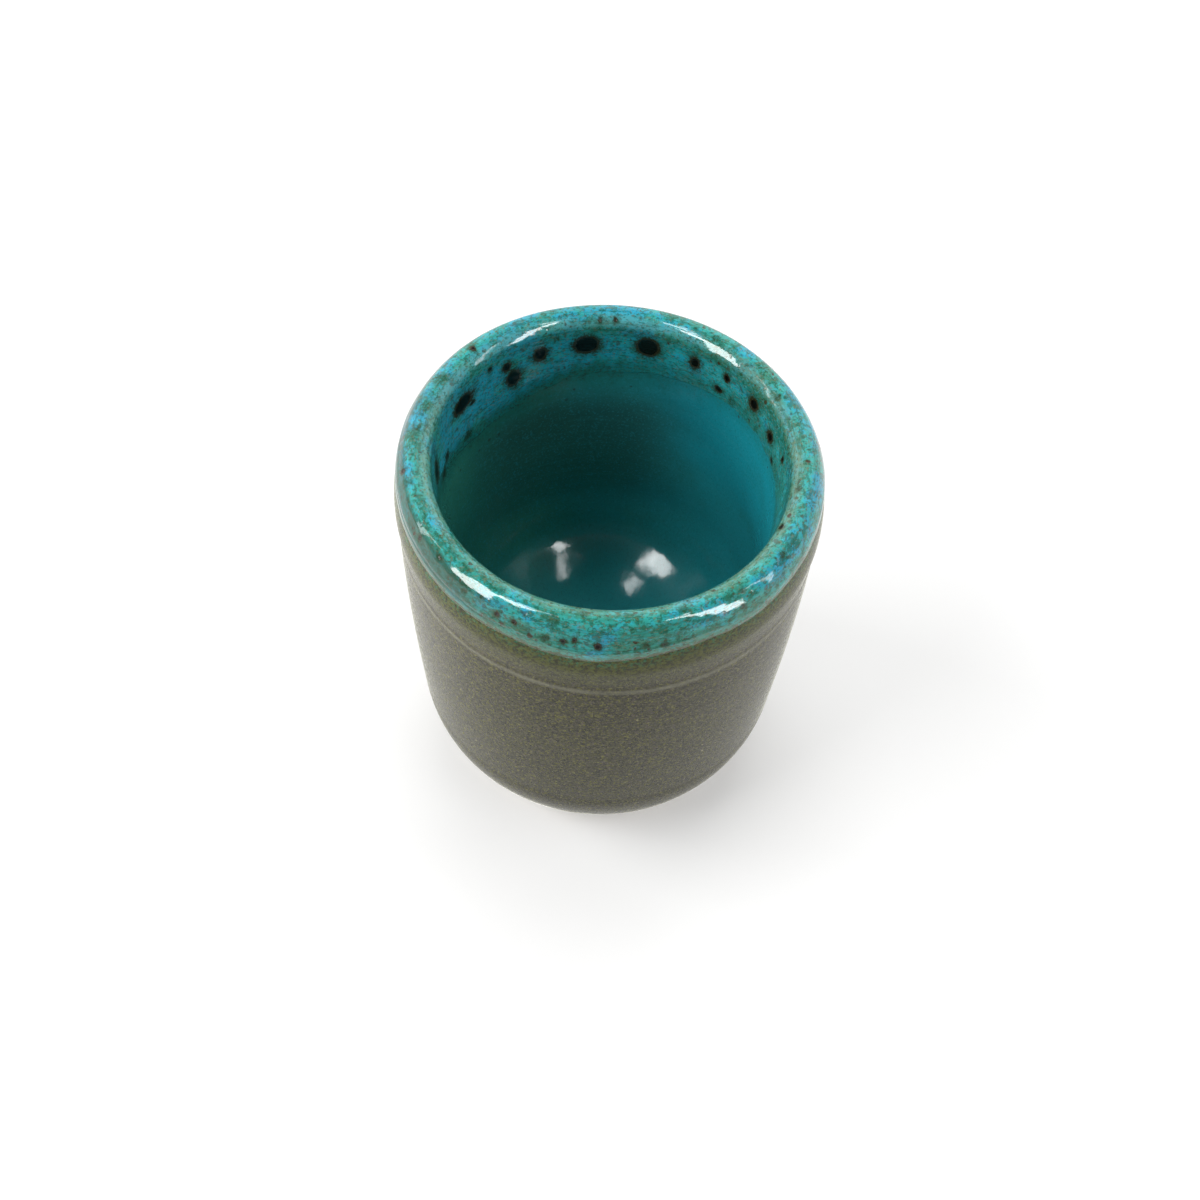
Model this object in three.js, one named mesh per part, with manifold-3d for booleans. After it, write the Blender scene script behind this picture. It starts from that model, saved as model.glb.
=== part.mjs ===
// Stoneware shot cup: one thrown clay body carrying three fired glaze coats.
//
//   stoneware_body  wall, floor and trimmed foot ring, bare clay at the foot
//   outer_glaze     satin coat on the outside, from above the foot to the lip crest
//   liner_glaze     glossy coat on the inside, from the lip crest to the floor
//   rim_glaze       second coat over the lip, lying on both of the other coats; it ends
//                   level on the outside, and along a slanted line on the inside
//
// Millimetres, +Z up. The origin is the centre of the foot, on the table.

import * as THREE from "three";
import { mergeVertices } from "three/addons/utils/BufferGeometryUtils.js";
import Module from "manifold-3d";

// ---------------------------------------------------------------- dimensions
const HEIGHT = 53.5; // finished rim crest above the table
const RIM_RADIUS = 24.92; // lip at its widest
const RIM_WIDEST_DROP = 7.4; // widest point of the lip below the crest
const CREST_RADIUS = 22.4; // circle on which the lip is highest
const MOUTH_RADIUS = 20.4; // finished mouth, just inside the lip
const MOUTH_DROP = 1.9; // where the mouth's inner edge turns vertical

const GROOVE_DROP = 10.95; // turned line below the lip
const GROOVE_RADIUS = 24.45;
const SHOULDER_DROP = 11.75; // upper edge of the body, just below the turned line
const SHOULDER_RADIUS = 24.66;

const BODY_LOW_RADIUS = 23.32; // where the straight wall runs into the bottom curve
const BODY_LOW_Z = 13.27;
const BODY_BULGE = 0.25; // the wall's swell at mid height
const BOTTOM_CURVE = 16.25; // radius of the rounded bottom

const GLAZE_LINE_Z = 2.4; // the outer glaze stops here, so the foot is bare clay
const FOOT_EDGE_RADIUS = 1.1; // softened edge of the trimmed foot
const FOOT_RING_WIDTH = 4.0; // flat ring that the cup stands on
const FOOT_RECESS = 2.4; // depth of the hollow inside the ring

const CAVITY_LOW_RADIUS = 19.75; // inner wall where it runs into the bowl
const CAVITY_LOW_Z = 22.41;
const CORNER_RADIUS = 9.345; // rounded corner between the wall and the dished floor
const DISH_RADIUS = 27.6; // hollow of the floor
const FLOOR_Z = 9.81; // finished floor of the bowl

const COAT = 0.45; // liner and outer glaze
const RIM_COAT = 0.25; // second coat over the lip

const DIP_OUTSIDE = 4.1; // the rim coat's level edge below the crest, outside
const DIP_INSIDE = 9.1; // its mean depth below the crest, inside
const DIP_SLOPE = 0.164; // slant of the inside edge: shallower towards +X

const SEGMENTS = 48; // facets round the axis

// ------------------------------------------------------------------ profiles
// A profile is a list of [radius, z].

const crestZ = HEIGHT - RIM_COAT; // crest of the first coats
const deg = Math.PI / 180;
// where the rim coat's outer edge lies on the curve of the lip
const dipAngle = Math.asin((RIM_WIDEST_DROP - DIP_OUTSIDE) / (crestZ - HEIGHT + RIM_WIDEST_DROP)) / deg;

function ellipseArc(cr, cz, a, b, angles) {
  return angles.map((t) => [cr + a * Math.cos(t * deg), cz + b * Math.sin(t * deg)]);
}

// Outside of the first coat, from the glaze line up to the crest.
function outerSurface() {
  const centre = BODY_LOW_RADIUS - BOTTOM_CURVE;
  const low = -Math.asin((BODY_LOW_Z - GLAZE_LINE_Z) / BOTTOM_CURVE) / deg;
  const curve = ellipseArc(centre, BODY_LOW_Z, BOTTOM_CURVE, BOTTOM_CURVE, [
    low, low * 0.76, low * 0.52, low * 0.26, 0,
  ]);
  const shoulderZ = HEIGHT - SHOULDER_DROP;
  const wall = [0.27, 0.54, 0.8].map((s) => [
    BODY_LOW_RADIUS + (SHOULDER_RADIUS - BODY_LOW_RADIUS) * s + 4 * BODY_BULGE * s * (1 - s),
    BODY_LOW_Z + (shoulderZ - BODY_LOW_Z) * s,
  ]);
  const turned = [
    [SHOULDER_RADIUS, shoulderZ],
    [GROOVE_RADIUS, HEIGHT - GROOVE_DROP],
    [GROOVE_RADIUS + 0.08, HEIGHT - GROOVE_DROP + 0.9],
  ];
  const widest = HEIGHT - RIM_WIDEST_DROP;
  const lip = ellipseArc(
    CREST_RADIUS, widest, RIM_RADIUS - CREST_RADIUS, crestZ - widest,
    [0, dipAngle, 48, 63, 77],
  );
  return [...curve, ...wall, ...turned, ...lip];
}

// Inside of the first coat, from just inside the crest down to the floor's centre.
function innerSurface() {
  const mouthZ = HEIGHT - MOUTH_DROP;
  const mouth = MOUTH_RADIUS + RIM_COAT;
  const edge = ellipseArc(
    CREST_RADIUS, mouthZ, CREST_RADIUS - mouth, crestZ - mouthZ,
    [112, 140, 165],
  );
  const wall = [
    [mouth - 0.02, mouthZ - 1.2],
    [mouth - 0.22, HEIGHT - 9],
    [mouth - 0.5, HEIGHT - 15.5],
    [CAVITY_LOW_RADIUS + 0.1, 28.5],
  ];
  const corner = ellipseArc(
    CAVITY_LOW_RADIUS - CORNER_RADIUS, CAVITY_LOW_Z, CORNER_RADIUS, CORNER_RADIUS,
    [0, -18, -37, -55.2],
  );
  const dish = ellipseArc(0, FLOOR_Z + DISH_RADIUS, DISH_RADIUS, DISH_RADIUS, [-63, -72, -81]);
  return [...edge, ...wall, ...corner, ...dish, [0, FLOOR_Z]];
}

// The same line moved sideways by d, to the left of its direction of travel.
function offset(line, d) {
  return line.map((p, i) => {
    const a = line[Math.max(i - 1, 0)];
    const b = line[Math.min(i + 1, line.length - 1)];
    const l = Math.hypot(b[0] - a[0], b[1] - a[1]);
    const r = p[0] - (d * (b[1] - a[1])) / l;
    return [p[0] === 0 ? 0 : r, p[1] + (d * (b[0] - a[0])) / l];
  });
}

const outer = outerSurface();
const inner = innerSurface();
const surface = [...outer, [CREST_RADIUS, crestZ], ...inner]; // glaze line to floor centre
const crest = outer.length;

// The clay lies one coat under that surface. The surface runs up the outside and
// down the inside, so the clay is on its left.
const clay = offset(surface, COAT);
clay[clay.length - 1] = [0, FLOOR_Z - COAT];
clay[crest] = [CREST_RADIUS, crestZ - COAT];

// ---------------------------------------------------------------- solid tools
function lathe(profile) {
  const points = profile.map(([r, z]) => new THREE.Vector2(r, z));
  return new THREE.LatheGeometry(points, SEGMENTS).rotateX(Math.PI / 2);
}

const wasm = await Module();
wasm.setup();

function solid(geometry) {
  const bare = geometry.clone();
  bare.deleteAttribute("normal");
  bare.deleteAttribute("uv");
  const g = mergeVertices(bare, 1e-4);
  return new wasm.Manifold(
    new wasm.Mesh({
      numProp: 3,
      vertProperties: new Float32Array(g.getAttribute("position").array),
      triVerts: new Uint32Array(g.index.array),
    }),
  );
}

function geometryOf(manifold) {
  const m = manifold.getMesh();
  const g = new THREE.BufferGeometry();
  g.setAttribute("position", new THREE.BufferAttribute(new Float32Array(m.vertProperties), 3));
  g.setIndex(new THREE.BufferAttribute(new Uint32Array(m.triVerts), 1));
  g.computeVertexNormals();
  return g;
}

// -------------------------------------------------------------------- pieces
// Clay: the underside from the axis out to the foot edge, then the whole skin.
function bodyProfile() {
  const centre = BODY_LOW_RADIUS - BOTTOM_CURVE;
  const clayCurve = BOTTOM_CURVE - COAT;
  // foot edge: where the clay's bottom curve would meet the table
  const angle = Math.asin(BODY_LOW_Z / clayCurve);
  const footRadius = centre + clayCurve * Math.cos(angle);
  const ringOut = footRadius - FOOT_EDGE_RADIUS;
  const ringIn = ringOut - FOOT_RING_WIDTH;
  const low = clay[0];
  const under = [
    [0, FOOT_RECESS],
    [ringIn - 1.6, FOOT_RECESS],
    [ringIn - 0.5, FOOT_RECESS * 0.55],
    [ringIn, 0],
    [ringOut, 0],
    [ringOut + FOOT_EDGE_RADIUS * 0.62, FOOT_EDGE_RADIUS * 0.22],
    [footRadius + 0.28, FOOT_EDGE_RADIUS * 0.78],
  ];
  // bare clay stands level with the glaze at the glaze line and curves to the foot
  return [...under, low, ...clay.slice(1)];
}

const bodyGeometry = lathe(bodyProfile());

// Outer coat: finished outside up to the crest, back down along the clay.
const outerGeometry = lathe([
  ...surface.slice(0, crest + 1),
  ...clay.slice(0, crest + 1).reverse(),
  surface[0],
]);

// Liner: from the crest down to the floor, back up along the clay.
const linerGeometry = lathe([
  ...surface.slice(crest),
  ...clay.slice(crest).reverse(),
  surface[crest],
]);

// Rim coat: over the lip on both sides, trimmed on the inside along the slanted line.
function rimProfile() {
  const lowest = HEIGHT - DIP_INSIDE - DIP_SLOPE * MOUTH_RADIUS;
  const from = surface.findIndex((p) => p[1] > HEIGHT - DIP_OUTSIDE - 0.01);
  let to = crest;
  while (surface[to][1] > lowest) to++;
  const under = surface.slice(from, to + 1);
  const over = offset(under, -RIM_COAT);
  over[over.length - 1] = [over[over.length - 1][0], under[under.length - 1][1]];
  return [...over, ...under.reverse(), over[0]];
}

function dipCut() {
  const size = 120;
  const box = new THREE.BoxGeometry(size, size, size);
  const up = new THREE.Vector3(-DIP_SLOPE, 0, 1).normalize();
  const turn = new THREE.Quaternion().setFromUnitVectors(new THREE.Vector3(0, 0, 1), up);
  const at = new THREE.Vector3(0, 0, HEIGHT - DIP_INSIDE).addScaledVector(up, -size / 2);
  box.applyMatrix4(new THREE.Matrix4().compose(at, turn, new THREE.Vector3(1, 1, 1)));
  return solid(box);
}

const rimGeometry = geometryOf(solid(lathe(rimProfile())).subtract(dipCut()));

// ------------------------------------------------------------------ materials
const finish = {
  clay: new THREE.MeshStandardMaterial({ color: 0xb9aa94, roughness: 0.9, metalness: 0 }),
  outer: new THREE.MeshStandardMaterial({ color: 0x46442f, roughness: 0.3, metalness: 0 }),
  liner: new THREE.MeshStandardMaterial({ color: 0x11808c, roughness: 0.12, metalness: 0 }),
  rim: new THREE.MeshStandardMaterial({ color: 0x2e9ea6, roughness: 0.1, metalness: 0 }),
};

const cup = new THREE.Group();
cup.name = "stoneware_shot_cup";
for (const [name, geometry, material] of [
  ["stoneware_body", bodyGeometry, finish.clay],
  ["outer_glaze", outerGeometry, finish.outer],
  ["liner_glaze", linerGeometry, finish.liner],
  ["rim_glaze", rimGeometry, finish.rim],
]) {
  const mesh = new THREE.Mesh(geometry, material);
  mesh.name = name;
  cup.add(mesh);
}

export default cup;
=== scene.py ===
"""Stoneware shot cup: the finished look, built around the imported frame.

Metres, +Z up, the same frame as the CAD model. Shapes are worked out in millimetres
on one turned profile and scaled when the meshes are made.
"""
import math

import bpy
import numpy as np
from mathutils import Matrix


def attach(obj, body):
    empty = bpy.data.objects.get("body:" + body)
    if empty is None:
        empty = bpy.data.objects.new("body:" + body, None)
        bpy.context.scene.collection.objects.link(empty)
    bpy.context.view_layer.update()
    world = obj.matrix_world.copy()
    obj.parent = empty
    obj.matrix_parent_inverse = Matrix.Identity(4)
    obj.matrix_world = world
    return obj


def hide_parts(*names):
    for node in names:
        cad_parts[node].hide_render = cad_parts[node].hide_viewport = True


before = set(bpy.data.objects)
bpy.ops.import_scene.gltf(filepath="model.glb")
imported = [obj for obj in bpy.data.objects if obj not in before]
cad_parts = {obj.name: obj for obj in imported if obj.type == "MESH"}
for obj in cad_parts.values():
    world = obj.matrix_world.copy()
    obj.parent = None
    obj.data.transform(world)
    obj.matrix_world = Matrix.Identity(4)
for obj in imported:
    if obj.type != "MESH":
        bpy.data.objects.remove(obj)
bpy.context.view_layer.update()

scene = bpy.context.scene
MM = 0.001
HEIGHT = 53.5
TAU = 2 * math.pi

# ------------------------------------------------------------------ camera
PITCH, YAW, ROLL = 0.9777, -0.0022, 0.0618
FOCAL_PX = 1659.6  # on a picture 1200 pixels wide
EYE = np.array([0.0, -118.61, 199.53])

fwd = np.array([math.sin(YAW) * math.cos(PITCH), math.cos(YAW) * math.cos(PITCH), -math.sin(PITCH)])
right = np.array([math.cos(YAW), -math.sin(YAW), 0.0])
up = np.cross(right, fwd)
cam_x = right * math.cos(ROLL) + up * math.sin(ROLL)
cam_y = -right * math.sin(ROLL) + up * math.cos(ROLL)

camera = bpy.data.objects.new("camera", bpy.data.cameras.new("camera"))
scene.collection.objects.link(camera)
camera.data.sensor_width = 36.0
camera.data.lens = 36.0 * FOCAL_PX / 1200
camera.data.clip_start, camera.data.clip_end = 0.01, 20
basis = Matrix(np.array([cam_x, cam_y, -fwd]).T.tolist()).to_4x4()
basis.translation = (EYE * MM).tolist()
camera.matrix_world = basis
scene.camera = camera


# ------------------------------------------------------------ smooth noise
def _hash(ix, iy, iz, seed):
    h = (ix.astype(np.int64) * 374761393 + iy.astype(np.int64) * 668265263
         + iz.astype(np.int64) * 2147483647 + seed * 974634777) & 0xFFFFFFFF
    h = ((h ^ (h >> 13)) * 1274126177) & 0xFFFFFFFF
    h = ((h ^ (h >> 16)) * 2246822519) & 0xFFFFFFFF
    return ((h ^ (h >> 15)) & 0xFFFFFF) / float(0xFFFFFF)


def noise(x, y, z, seed=0):
    """Value noise from -1 to 1, one feature per unit."""
    x, y, z = np.broadcast_arrays(*(np.asarray(a, float) for a in (x, y, z)))
    ix, iy, iz = np.floor(x), np.floor(y), np.floor(z)
    fx, fy, fz = (f * f * f * (f * (f * 6 - 15) + 10) for f in (x - ix, y - iy, z - iz))
    out = np.zeros(x.shape)
    for dx in (0, 1):
        for dy in (0, 1):
            for dz in (0, 1):
                w = (fx if dx else 1 - fx) * (fy if dy else 1 - fy) * (fz if dz else 1 - fz)
                out += w * _hash(ix + dx, iy + dy, iz + dz, seed)
    return out * 2 - 1


def fbm(x, y, z, seed=0, octaves=3):
    total, amp, norm = 0.0, 1.0, 0.0
    for k in range(octaves):
        f = 2.03 ** k
        total = total + amp * noise(np.asarray(x) * f, np.asarray(y) * f, np.asarray(z) * f, seed + 17 * k)
        norm += amp
        amp *= 0.5
    return total / norm


def smoothstep(a, b, x):
    t = np.clip((np.asarray(x, float) - a) / (b - a), 0, 1)
    return t * t * (3 - 2 * t)


# ----------------------------------------------------------- turned profile
def arc(cr, cz, a, b, t0, t1, n):
    t = np.radians(np.linspace(t0, t1, n))
    return np.c_[cr + a * np.cos(t), cz + b * np.sin(t)]


def resample(p, step=None, n=None):
    d = np.r_[0, np.cumsum(np.hypot(*np.diff(p, axis=0).T))]
    n = n or int(round(d[-1] / step)) + 1
    s = np.linspace(0, d[-1], n)
    return np.c_[np.interp(s, d, p[:, 0]), np.interp(s, d, p[:, 1])]


def soften(p, step, sigma):
    k = int(math.ceil(4 * sigma / step))
    x = np.arange(-k, k + 1) * step
    w = np.exp(-x * x / 2 / sigma ** 2)
    w /= w.sum()
    q = np.vstack([2 * p[0] - p[k:0:-1], p, 2 * p[-1] - p[-2:-k - 2:-1]])
    return np.c_[np.convolve(q[:, 0], w, "valid"), np.convolve(q[:, 1], w, "valid")]


def outside_of(p):
    """Unit normals to the right of the line's direction of travel."""
    t = np.gradient(p, axis=0)
    t /= np.hypot(t[:, 0], t[:, 1])[:, None]
    return np.c_[t[:, 1], -t[:, 0]]


STEP = 0.02
LINE_Z = 2.4  # the outer glaze ends here, above the bare foot
_low = -math.degrees(math.asin((13.27 - LINE_Z) / 16.25))
_s = np.linspace(0, 1, 400)[1:]
_bottom = arc(7.07, 13.27, 16.25, 16.25, _low, 0, 400)
_wall = np.c_[23.32 + 1.34 * _s + 1.0 * _s * (1 - _s), 13.27 + 28.48 * _s]
_turned = np.array([[24.60, 42.5], [24.68, 43.6]])
_lip = arc(22.4, 46.1, 2.52, 7.15, 0, 90, 300)
_edge = arc(22.4, 51.6, 1.75, 1.65, 90, 180, 200)[1:]
_inner = np.array([[20.63, 50.4], [20.43, 44.5], [20.15, 38.0], [19.85, 28.5]])
_bowl = np.vstack([arc(10.405, 22.414, 9.345, 9.345, 0, -55.2, 300), arc(0, 37.416, 27.602, 27.602, -55.3, -90, 400)])
# G: finished surface of the first coats, from the glaze line up over the lip to the floor's centre
G = resample(np.vstack([_bottom, _wall, _turned, _lip, _edge, _inner, _bowl]), STEP)
G = soften(G, STEP, 0.26)
G[-1, 0] = 0.0
GN = outside_of(G)
GN[-1] = (0, 1)
_d = np.r_[0, np.cumsum(np.hypot(*np.diff(G, axis=0).T))]
S = _d - _d[int(np.argmax(G[:, 1]))]  # arc length from the crest: outside < 0 < inside
S_LOW, S_END = S[0], S[-1]


def on_g(s, lift=0.0):
    """(r, z) at arc length s, lifted off the surface by lift mm."""
    r = np.interp(s, S, G[:, 0]) + lift * np.interp(s, S, GN[:, 0])
    z = np.interp(s, S, G[:, 1]) + lift * np.interp(s, S, GN[:, 1])
    return r, z


def s_at(z, inside):
    """Arc length at height z."""
    part = S > 0 if inside else S < 0
    zs, ss = G[part, 1], S[part]
    order = np.argsort(zs)
    return np.interp(z, zs[order], ss[order])


# ------------------------------------------------------- handmade unevenness
def warp(r, phi, z):
    """The whole cup is a little out of true, as a thrown cup is."""
    high = smoothstep(5, 53, z)
    dr = (0.07 * np.cos(2 * phi + 0.7) + 0.05 * np.cos(3 * phi - 1.2)) * high
    dr = dr + 0.05 * fbm(1.3 * np.cos(phi), 1.3 * np.sin(phi), z / 16.0, 5, 2)
    dr = dr * smoothstep(0.5, 6, np.maximum(r, z))
    # on the right the wall is thicker below the lip, so the mouth flares there
    turn = (phi + 0.10 + math.pi) % TAU - math.pi
    dr = dr - 1.15 * np.exp(-(turn / 0.80) ** 2) * smoothstep(22.2, 20.7, r) * smoothstep(52.2, 45.8, z) * smoothstep(24, 38, z)
    dz = (0.07 * np.cos(phi - 2.1) + 0.05 * np.cos(2 * phi + 0.4) + 0.03 * np.cos(5 * phi)) * smoothstep(30, 53, z)
    r = np.where(r > 1e-9, r + dr * np.clip(r / 12.0, 0, 1), 0.0)
    return np.stack([r * np.cos(phi), r * np.sin(phi), z + dz], -1)


# ------------------------------------------------- where the rim coat ends
def periodic(points, phi):
    """Smooth closed curve through (degrees, value) pairs."""
    a = np.radians([p[0] for p in points])
    v = np.array([p[1] for p in points], float)
    order = np.argsort(a)
    a, v = a[order], v[order]
    grid = np.linspace(-math.pi, math.pi, 1441)[:-1]
    lin = np.interp(grid, np.r_[a - TAU, a, a + TAU], np.r_[v, v, v])
    k = np.arange(-60, 61)
    w = np.exp(-k * k / 2 / 16.0 ** 2)
    w /= w.sum()
    sm = np.convolve(np.r_[lin[-60:], lin, lin[:60]], w, "valid")
    x = (np.asarray(phi) + math.pi) % TAU - math.pi
    return np.interp(x, np.r_[grid, math.pi], np.r_[sm, sm[0]])


OUTER_EDGE = [(-180, -3.5), (-165, -3.5), (-149, -3.6), (-140, -3.8), (-127, -4.15), (-112, -4.1), (-103, -4.5),
              (-94, -4.8), (-86, -4.65), (-72, -3.9), (-63, -3.6), (-50, -4.0), (-37, -3.5), (-20, -3.2), (0, -3.3),
              (30, -3.8), (60, -4.2), (90, -4.6), (115, -4.0), (140, -3.7)]
INNER_EDGE = [(-180, -12.0), (160, -12.5), (144, -13.0), (130, -12.4), (118, -11.1), (105, -10.0), (90, -9.2), (75, -8.5),
              (59, -8.0), (44, -7.4), (30, -7.0), (15, -7.0), (0, -7.2), (-30, -7.2), (-60, -7.6), (-90, -8.6),
              (-120, -10.0), (-150, -11.2)]


def ring(phi, f, seed):
    """Noise round the cup, f features per millimetre of the lip."""
    return fbm(24 * f * np.cos(phi), 24 * f * np.sin(phi), 0.37 * seed, seed, 3)


def s_outer_edge(phi):
    z = HEIGHT + periodic(OUTER_EDGE, phi) + 0.16 * ring(phi, 0.30, 3) + 0.07 * ring(phi, 1.1, 4)
    return s_at(z - 0.25, False)


def s_inner_edge(phi):
    z = HEIGHT + periodic(INNER_EDGE, phi) + 0.45 * ring(phi, 0.22, 7) + 0.2 * ring(phi, 0.8, 8)
    return s_at(z, True)


# Iron spots in the rim coat: angle in degrees, arc length from the crest, half width round the
# cup, half width across, darkness
IRON = [
    (151.5, 5.5, 1.55, 0.95, 1.0), (146.4, 6.9, 0.25, 0.22, 0.7), (127.8, 7.5, 0.80, 1.00, 1.0), (130.3, 5.1, 0.42, 0.50, 0.9),
    (137.3, 3.8, 0.22, 0.26, 0.6), (117.3, 5.1, 0.62, 0.76, 0.85), (101.0, 4.85, 1.34, 1.18, 1.0), (79.7, 4.65, 1.22, 1.20, 1.0),
    (62.3, 4.7, 0.46, 0.60, 0.85), (49.1, 4.2, 0.32, 0.42, 0.8), (51.8, 6.8, 0.38, 0.32, 0.85), (45.3, 7.1, 0.24, 0.36, 0.4),
    (35.3, 4.4, 0.60, 0.60, 0.9), (22.2, 5.3, 0.52, 0.46, 0.9), (16.5, 7.2, 0.22, 0.20, 0.7), (9.9, 4.3, 0.18, 0.24, 0.7),
    (-23.9, 1.3, 0.20, 0.16, 0.7), (176.6, 7.9, 0.55, 1.30, 0.9), (168.0, 12.0, 0.34, 0.60, 0.6), (164.7, 10.2, 0.30, 0.46, 0.6),
    (149.9, 11.6, 0.36, 0.38, 0.5), (-90.3, -3.1, 0.24, 0.29, 0.95), (-96.2, -2.6, 0.15, 0.17, 0.85), (-99.1, -3.0, 0.20, 0.21, 0.62),
    (-103.7, -3.2, 0.22, 0.21, 0.50), (-112.3, -2.5, 0.15, 0.17, 0.80), (-117.3, -2.5, 0.16, 0.16, 0.65), (-102.3, -1.0, 0.13, 0.12, 0.40),
    (-94.6, 0.3, 0.10, 0.10, 0.40), (-73.5, -3.3, 0.17, 0.14, 0.58), (-78.0, -3.1, 0.14, 0.14, 0.50), (-66.6, 0.0, 0.15, 0.12, 0.40),
    (140.1, 0.2, 0.18, 0.20, 0.75), (163.2, -0.2, 0.45, 0.30, 0.34), (167.5, -0.3, 0.60, 0.40, 0.34), (176.9, -0.2, 0.42, 0.30, 0.36),
    (155.7, 0.0, 0.50, 0.28, 0.36), (96.4, 1.35, 0.12, 0.12, 0.60), (91.4, 1.3, 0.12, 0.12, 0.65), (-108.4, -2.7, 0.13, 0.15, 0.40),
    (-169.9, -1.2, 0.18, 0.22, 0.75), (-165.3, -1.1, 0.24, 0.34, 0.40), (111.4, 3.2, 0.14, 0.18, 0.45), (-148.0, -1.9, 0.14, 0.16, 0.60),
    (-139.0, -1.3, 0.13, 0.15, 0.55), (-128.0, -2.2, 0.12, 0.14, 0.50), (-122.5, -1.7, 0.12, 0.12, 0.50), (-51.0, -2.1, 0.14, 0.14, 0.55),
    (-33.0, -0.6, 0.16, 0.14, 0.50), (-9.0, 0.9, 0.14, 0.14, 0.50), (28.0, 0.9, 0.12, 0.14, 0.50), (58.0, 0.4, 0.12, 0.12, 0.45),
    (-150.0, 5.2, 0.9, 0.8, 0.9), (-124.0, 4.6, 0.6, 0.6, 0.8), (-98.0, 4.9, 1.0, 1.1, 0.95), (-71.0, 4.3, 0.5, 0.5, 0.8),
    (-48.0, 4.7, 0.8, 0.7, 0.9), (-29.0, 4.6, 0.3, 0.3, 0.7), (10.0, -2.6, 0.3, 0.35, 0.7), (42.0, -3.0, 0.35, 0.35, 0.6),
    (71.0, -2.7, 0.3, 0.3, 0.8), (108.0, -3.1, 0.4, 0.35, 0.7), (133.0, -2.4, 0.3, 0.3, 0.6),
]


def iron_field(phi, s):
    """(signed distance in mm to the nearest spot's edge, stretched round small spots; that spot's darkness)."""
    best = np.full(np.shape(phi), 9.0)
    dark = np.zeros(np.shape(phi))
    r = np.interp(s, S, G[:, 0])
    for a, s0, wide, tall, k in IRON:
        x = ((phi - math.radians(a) + math.pi) % TAU - math.pi) * r
        y = s - s0
        q = np.hypot(x / wide, y / tall)
        d = (q - 1) * min(wide, tall) * min(max(0.55 / min(wide, tall), 1.0), 2.4)
        near = d < best
        best = np.where(near, d, best)
        dark = np.where(near, k, dark)
    return best, dark


# ------------------------------------------------------------- mesh making
def finish_mesh(name, verts, faces, attrs, uvs):
    mesh = bpy.data.meshes.new(name)
    mesh.from_pydata((np.asarray(verts) * MM).tolist(), [], faces)
    mesh.validate()
    for key, values in attrs.items():
        values = np.asarray(values, np.float32)
        kind = "FLOAT_VECTOR" if values.ndim == 2 else "FLOAT"
        mesh.attributes.new(key, kind, "POINT").data.foreach_set(
            "vector" if values.ndim == 2 else "value", values.ravel())
    layer = mesh.uv_layers.new(name="OFBake")
    flat = np.concatenate(uvs)
    layer.data.foreach_set("uv", flat.astype(np.float32).ravel())
    mesh.polygons.foreach_set("use_smooth", np.ones(len(mesh.polygons), bool))
    mesh.update()
    obj = bpy.data.objects.new(name, mesh)
    scene.collection.objects.link(obj)
    return obj


def revolve(name, rz, attrs, v_map, poles=False):
    """A closed body from one cross-section per angle: rz is (angles, points, 2) in mm.

    With poles the section starts and ends on the axis; without, it closes on itself.
    v_map gives each section point's place across the unwrapped map.
    """
    n, m = rz.shape[:2]
    phi = np.arange(n) * TAU / n
    P = warp(rz[..., 0], np.broadcast_to(phi[:, None], (n, m)), rz[..., 1])
    faces, uvs = [], []
    u = np.arange(n + 1) / n
    if not poles:
        verts = P.reshape(-1, 3)
        flat = {k: a.reshape((n * m,) + a.shape[2:]) for k, a in attrs.items()}
        vv = np.r_[v_map, 1.0]
        for j in range(n):
            a, b = j * m, ((j + 1) % n) * m
            for i in range(m):
                k = (i + 1) % m
                faces.append((a + i, b + i, b + k, a + k))
                uvs.append(np.array([[u[j], vv[i]], [u[j + 1], vv[i]], [u[j + 1], vv[i + 1]], [u[j], vv[i + 1]]]))
    else:
        inner = P[:, 1:-1]
        w = m - 2
        verts = np.vstack([inner.reshape(-1, 3), P[:, 0].mean(0)[None], P[:, -1].mean(0)[None]])
        flat = {}
        for k, a in attrs.items():
            body = a[:, 1:-1].reshape((n * w,) + a.shape[2:])
            ends = np.stack([a[:, 0].mean(0), a[:, -1].mean(0)])
            flat[k] = np.concatenate([body, ends])
        first, last = n * w, n * w + 1
        for j in range(n):
            a, b = j * w, ((j + 1) % n) * w
            mid = (u[j] + u[j + 1]) / 2
            faces.append((first, b, a))
            uvs.append(np.array([[mid, v_map[0]], [u[j + 1], v_map[1]], [u[j], v_map[1]]]))
            for i in range(w - 1):
                faces.append((a + i, b + i, b + i + 1, a + i + 1))
                uvs.append(np.array([[u[j], v_map[i + 1]], [u[j + 1], v_map[i + 1]],
                                     [u[j + 1], v_map[i + 2]], [u[j], v_map[i + 2]]]))
            faces.append((a + w - 1, b + w - 1, last))
            uvs.append(np.array([[u[j], v_map[-2]], [u[j + 1], v_map[-2]], [mid, v_map[-1]]]))
    return finish_mesh(name, verts, faces, flat, uvs)


def unwrap(seen, hidden, share=0.94):
    """Map places for a section of `seen` points followed by `hidden` points."""
    return np.r_[np.linspace(0, share, seen), np.linspace(share, 1, hidden + 2)[1:-1]]


def wrapped(phi, s):
    """Millimetre coordinates that follow the surface, with no seam."""
    return np.stack([22 * np.cos(phi), 22 * np.sin(phi), s], -1)


def grid(n, s):
    phi = np.arange(n) * TAU / n
    return np.broadcast_to(phi[:, None], (n, len(s))), np.broadcast_to(np.asarray(s)[None, :], (n, len(s)))


COAT = 0.45

# Outer coat: seen side from the glaze line to the crest, back along the clay.
N_OUT = 440
s_seen = np.linspace(S_LOW, 0.0, 168)
s_back = np.linspace(0.0, S_LOW, 26)
phi, ss = grid(N_OUT, s_seen)
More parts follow.
